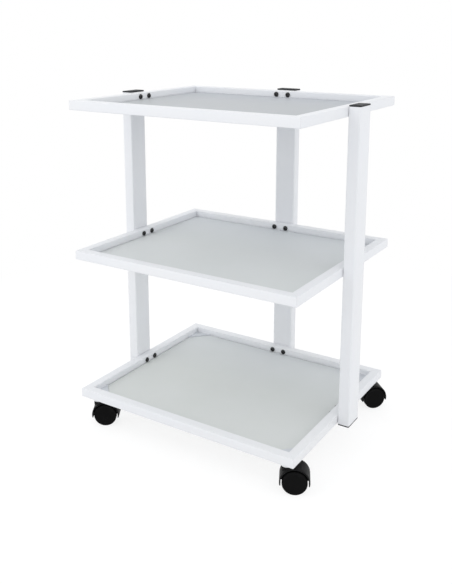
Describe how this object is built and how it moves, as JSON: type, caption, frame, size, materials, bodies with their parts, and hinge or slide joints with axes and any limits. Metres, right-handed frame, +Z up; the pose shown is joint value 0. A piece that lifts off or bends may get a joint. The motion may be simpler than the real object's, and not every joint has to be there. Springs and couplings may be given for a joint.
{
  "type": "beauty trolley",
  "caption": "Wheeled treatment-room trolley: recessed frosted-glass shelves in white square-tube frames, bolted between three posts, on hooded twin-wheel swivel casters.",
  "frame": {"origin": "on the floor, under the middle of the whole trolley's box", "axes": "+Z up, +X along the shelves' long side to the right as seen from the open long side, +Y to the back, where the long side's post stands"},
  "size_m": [0.5806, 0.4702, 0.7285],
  "materials": {
    "white_powder_coat": "smooth satin powder coat",
    "frosted_glass": "milky grey-green pane, glossy on top",
    "cap_plastic": "black moulded, fine grain",
    "black_bolt_steel": "blackened, half gloss",
    "hood_plastic": "black moulded, satin",
    "wheel_plastic": "black moulded",
    "zinc_steel": "zinc plated"
  },
  "bodies": {
    "trolley": {"bottom_frame": "white_powder_coat", "bottom_glass": "frosted_glass", "middle_frame": "white_powder_coat", "middle_glass": "frosted_glass", "top_frame": "white_powder_coat", "top_glass": "frosted_glass", "left_post": "white_powder_coat", "left_post_top_cap": "cap_plastic", "left_post_bottom_cap": "cap_plastic", "back_post": "white_powder_coat", "back_post_top_cap": "cap_plastic", "back_post_bottom_cap": "cap_plastic", "right_post": "white_powder_coat", "right_post_top_cap": "cap_plastic", "right_post_bottom_cap": "cap_plastic", "bottom_left_bolt_1": "black_bolt_steel", "bottom_left_bolt_2": "black_bolt_steel", "bottom_back_bolt_1": "black_bolt_steel", "bottom_back_bolt_2": "black_bolt_steel", "bottom_right_bolt_1": "black_bolt_steel", "bottom_right_bolt_2": "black_bolt_steel", "middle_left_bolt_1": "black_bolt_steel", "middle_left_bolt_2": "black_bolt_steel", "middle_back_bolt_1": "black_bolt_steel", "middle_back_bolt_2": "black_bolt_steel", "middle_right_bolt_1": "black_bolt_steel", "middle_right_bolt_2": "black_bolt_steel", "top_left_bolt_1": "black_bolt_steel", "top_left_bolt_2": "black_bolt_steel", "top_back_bolt_1": "black_bolt_steel", "top_back_bolt_2": "black_bolt_steel", "top_right_bolt_1": "black_bolt_steel", "top_right_bolt_2": "black_bolt_steel", "front_left_caster_stem": "zinc_steel", "front_right_caster_stem": "zinc_steel", "back_right_caster_stem": "zinc_steel", "back_left_caster_stem": "zinc_steel"},
    "front_left_swivel": {"front_left_caster_hood": "hood_plastic", "front_left_caster_axle": "zinc_steel"},
    "front_left_near_roller": {"front_left_near_wheel": "wheel_plastic"},
    "front_left_far_roller": {"front_left_far_wheel": "wheel_plastic"},
    "front_right_swivel": {"front_right_caster_hood": "hood_plastic", "front_right_caster_axle": "zinc_steel"},
    "front_right_near_roller": {"front_right_near_wheel": "wheel_plastic"},
    "front_right_far_roller": {"front_right_far_wheel": "wheel_plastic"},
    "back_right_swivel": {"back_right_caster_hood": "hood_plastic", "back_right_caster_axle": "zinc_steel"},
    "back_right_near_roller": {"back_right_near_wheel": "wheel_plastic"},
    "back_right_far_roller": {"back_right_far_wheel": "wheel_plastic"},
    "back_left_swivel": {"back_left_caster_hood": "hood_plastic", "back_left_caster_axle": "zinc_steel"},
    "back_left_near_roller": {"back_left_near_wheel": "wheel_plastic"},
    "back_left_far_roller": {"back_left_far_wheel": "wheel_plastic"}
  },
  "joints": [
    {"name": "front_left_swivel_turn", "type": "hinge", "parent": "trolley", "child": "front_left_swivel", "pos_m": [-0.238, -0.20815, 0.05], "axis": [0, 0, 1], "continuous": true},
    {"name": "front_left_near_wheel_turn", "type": "hinge", "parent": "front_left_swivel", "child": "front_left_near_roller", "pos_m": [-0.22528, -0.2002, 0.025], "axis": [-0.5299, 0.848, 0], "continuous": true},
    {"name": "front_left_far_wheel_turn", "type": "hinge", "parent": "front_left_swivel", "child": "front_left_far_roller", "pos_m": [-0.22528, -0.2002, 0.025], "axis": [-0.5299, 0.848, 0], "continuous": true},
    {"name": "front_right_swivel_turn", "type": "hinge", "parent": "trolley", "child": "front_right_swivel", "pos_m": [0.238, -0.20815, 0.05], "axis": [0, 0, 1], "continuous": true},
    {"name": "front_right_near_wheel_turn", "type": "hinge", "parent": "front_right_swivel", "child": "front_right_near_roller", "pos_m": [0.25137, -0.20134, 0.025], "axis": [-0.454, 0.891, 0], "continuous": true},
    {"name": "front_right_far_wheel_turn", "type": "hinge", "parent": "front_right_swivel", "child": "front_right_far_roller", "pos_m": [0.25137, -0.20134, 0.025], "axis": [-0.454, 0.891, 0], "continuous": true},
    {"name": "back_right_swivel_turn", "type": "hinge", "parent": "trolley", "child": "back_right_swivel", "pos_m": [0.238, 0.18285, 0.05], "axis": [0, 0, 1], "continuous": true},
    {"name": "back_right_near_wheel_turn", "type": "hinge", "parent": "back_right_swivel", "child": "back_right_near_roller", "pos_m": [0.24879, 0.19327, 0.025], "axis": [-0.6947, 0.7193, 0], "continuous": true},
    {"name": "back_right_far_wheel_turn", "type": "hinge", "parent": "back_right_swivel", "child": "back_right_far_roller", "pos_m": [0.24879, 0.19327, 0.025], "axis": [-0.6947, 0.7193, 0], "continuous": true},
    {"name": "back_left_swivel_turn", "type": "hinge", "parent": "trolley", "child": "back_left_swivel", "pos_m": [-0.238, 0.18285, 0.05], "axis": [0, 0, 1], "continuous": true},
    {"name": "back_left_near_wheel_turn", "type": "hinge", "parent": "back_left_swivel", "child": "back_left_near_roller", "pos_m": [-0.22618, 0.19208, 0.025], "axis": [-0.6157, 0.788, 0], "continuous": true},
    {"name": "back_left_far_wheel_turn", "type": "hinge", "parent": "back_left_swivel", "child": "back_left_far_roller", "pos_m": [-0.22618, 0.19208, 0.025], "axis": [-0.6157, 0.788, 0], "continuous": true}
  ]
}
